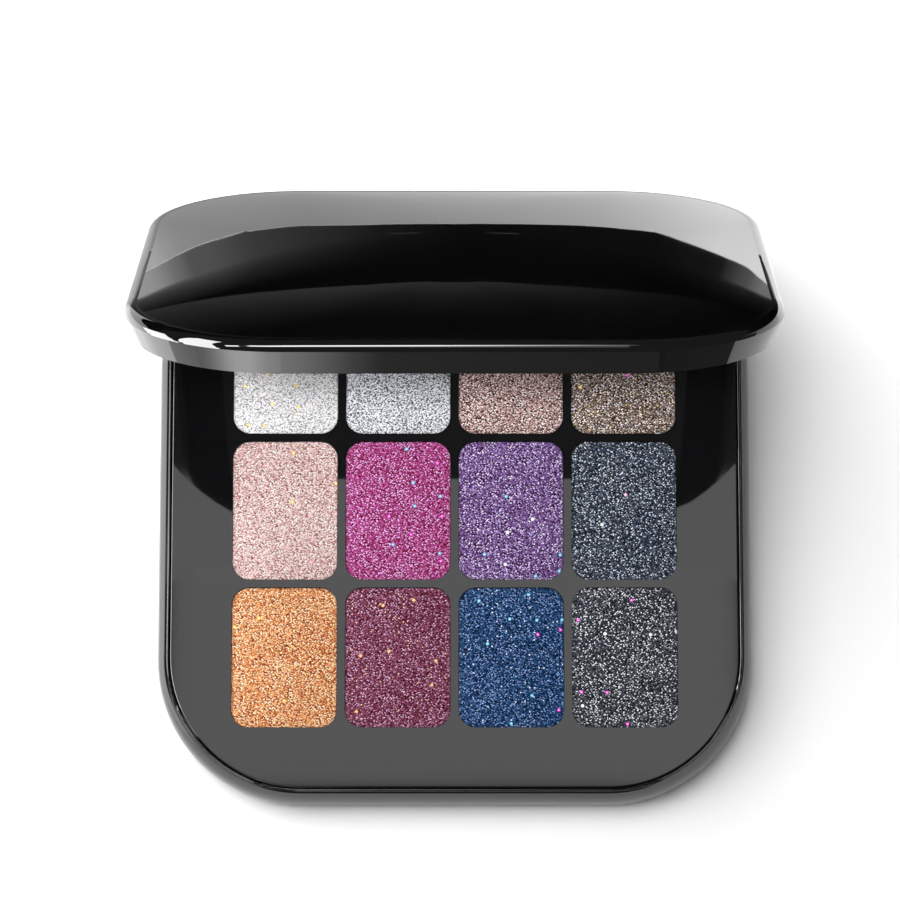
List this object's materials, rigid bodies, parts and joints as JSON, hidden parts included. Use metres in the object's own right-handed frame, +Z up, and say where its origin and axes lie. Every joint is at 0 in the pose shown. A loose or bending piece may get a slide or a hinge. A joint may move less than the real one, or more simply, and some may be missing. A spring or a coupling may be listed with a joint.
{
  "type": "eyeshadow palette",
  "caption": "Rounded-square hinged compact with a domed lid and inside mirror over a windowed plate of pressed eyeshadow powders, shown partly open.",
  "frame": {"origin": "middle of the flat underside of the base", "axes": "+Z up out of the powders, +Y towards the hinge at the back, +X to the user's right"},
  "size_m": [0.103, 0.1061, 0.1017],
  "materials": {
    "black_gloss": "polished black plastic",
    "black_matte": "plain black plastic",
    "pan_metal": "pressed sheet",
    "pin_steel": "drawn wire",
    "magnet_nickel": "nickel plate",
    "mirror_glass": "silvered glass",
    "tape_white": "double-sided tape",
    "powder_silver_white": "pressed powder, silvery white shimmer",
    "powder_cool_silver": "pressed powder, cool silver shimmer",
    "powder_rose_taupe": "pressed powder, rose taupe shimmer",
    "powder_bronze": "pressed powder, grey bronze with coloured glitter",
    "powder_dusty_pink": "pressed powder, dusty pink shimmer",
    "powder_magenta": "pressed powder, magenta metallic",
    "powder_violet": "pressed powder, violet metallic",
    "powder_slate": "pressed powder, slate with white glitter",
    "powder_copper_gold": "pressed powder, copper gold metallic",
    "powder_plum": "pressed powder, plum with gold glitter",
    "powder_royal_blue": "pressed powder, royal blue metallic",
    "powder_charcoal": "pressed powder, charcoal with white glitter"
  },
  "bodies": {
    "base": {"base_shell": "black_gloss", "pan_tray": "black_matte", "cover_plate": "black_gloss", "base_magnets": "magnet_nickel", "hinge_pin": "pin_steel", "pan_r1c1": "pan_metal", "pan_r1c2": "pan_metal", "pan_r1c3": "pan_metal", "pan_r1c4": "pan_metal", "pan_r2c1": "pan_metal", "pan_r2c2": "pan_metal", "pan_r2c3": "pan_metal", "pan_r2c4": "pan_metal", "pan_r3c1": "pan_metal", "pan_r3c2": "pan_metal", "pan_r3c3": "pan_metal", "pan_r3c4": "pan_metal", "powder_r1c1": "powder_silver_white", "powder_r1c2": "powder_cool_silver", "powder_r1c3": "powder_rose_taupe", "powder_r1c4": "powder_bronze", "powder_r2c1": "powder_dusty_pink", "powder_r2c2": "powder_magenta", "powder_r2c3": "powder_violet", "powder_r2c4": "powder_slate", "powder_r3c1": "powder_copper_gold", "powder_r3c2": "powder_plum", "powder_r3c3": "powder_royal_blue", "powder_r3c4": "powder_charcoal"},
    "lid": {"lid_shell": "black_gloss", "mirror_frame": "black_gloss", "mirror": "mirror_glass", "mirror_tape": "tape_white", "lid_magnets": "magnet_nickel"}
  },
  "joints": [
    {"name": "lid_hinge", "type": "hinge", "parent": "base", "child": "lid", "pos_m": [0, 0.0507, 0.0085], "axis": [-1, 0, 0], "range_deg": [-63.8, 56.2]}
  ]
}
